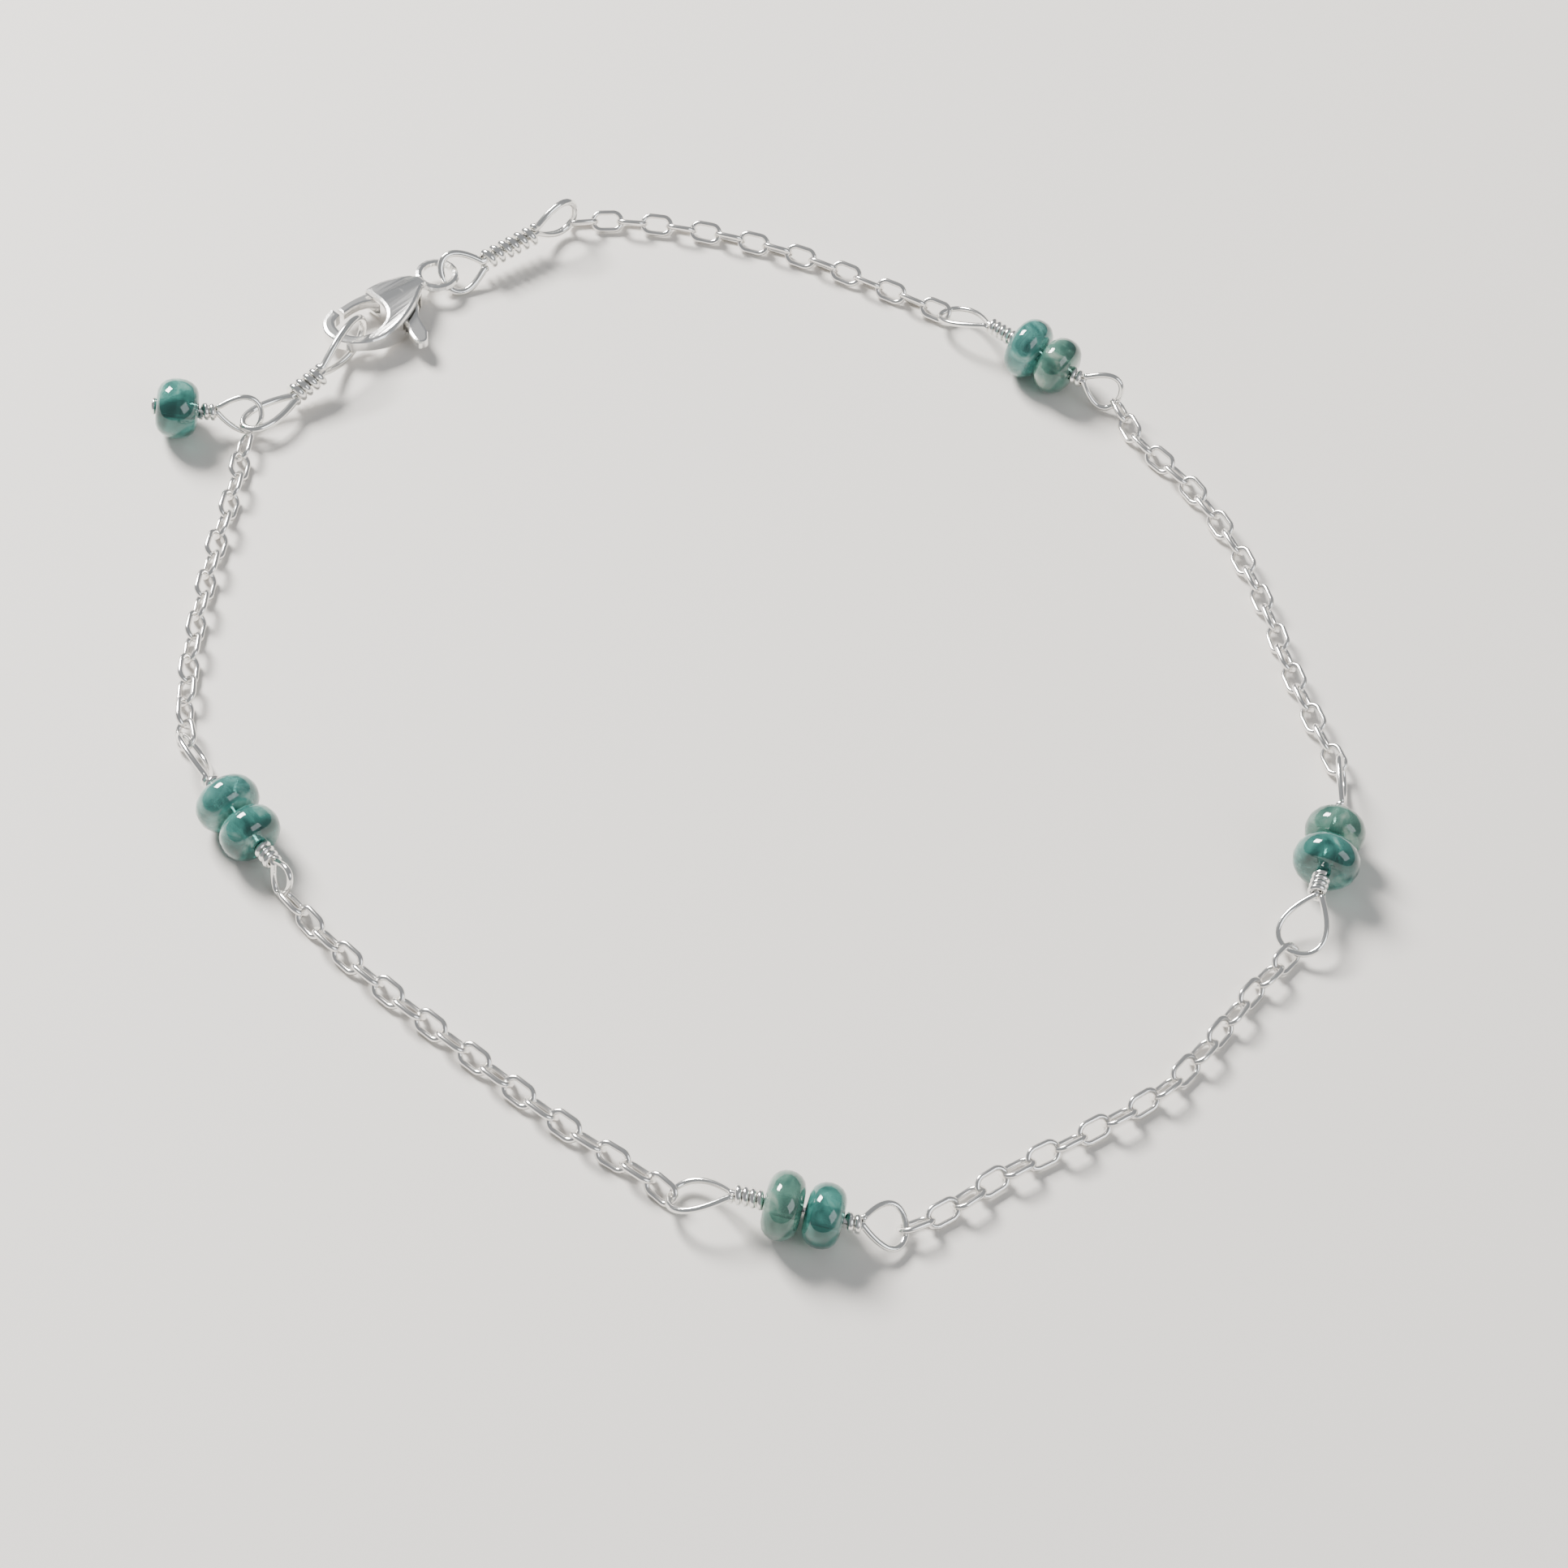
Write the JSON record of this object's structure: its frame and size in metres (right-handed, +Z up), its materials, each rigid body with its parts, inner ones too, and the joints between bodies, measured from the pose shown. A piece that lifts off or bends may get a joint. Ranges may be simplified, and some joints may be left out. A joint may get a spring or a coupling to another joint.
{
  "type": "beaded bracelet",
  "caption": "Fine silver chain bracelet lying as a closed loop, with wire-wrapped teal stone beads between chain lengths, a lobster clasp and a small bead drop.",
  "frame": {"origin": "under the middle of the bracelet's box, on the surface that it lies on", "axes": "+Z up, away from the surface; +X to the picture's right; +Y away from the picture's viewer"},
  "size_m": [0.0662, 0.0666, 0.0035],
  "materials": {
    "silver_clasp": "polished cast silver",
    "silver_lever": "polished silver",
    "silver_wire": "polished drawn silver wire",
    "silver_chain": "polished silver cable links",
    "teal_stone": "polished translucent stone with small facets"
  },
  "bodies": {
    "bracelet": {"clasp_body": "silver_clasp", "clasp_link": "silver_wire", "hook_link": "silver_wire", "drop_pin": "silver_wire", "wire_1": "silver_wire", "wire_2": "silver_wire", "wire_3": "silver_wire", "wire_4": "silver_wire", "chain_1": "silver_chain", "chain_2": "silver_chain", "chain_3": "silver_chain", "chain_4": "silver_chain", "chain_5": "silver_chain", "bead_1a": "teal_stone", "bead_1b": "teal_stone", "bead_2a": "teal_stone", "bead_2b": "teal_stone", "bead_3a": "teal_stone", "bead_3b": "teal_stone", "bead_4a": "teal_stone", "bead_4b": "teal_stone", "drop_bead": "teal_stone"},
    "clasp_lever": {"clasp_lever": "silver_lever"}
  },
  "joints": [
    {"name": "lever_hinge", "type": "hinge", "parent": "bracelet", "child": "clasp_lever", "pos_m": [-0.02114, 0.0236, 0.00093], "axis": [0, 0, 1], "range_deg": [0, 18], "stiffness_Nm_per_rad": 0.001, "springref_deg": -11.46}
  ]
}
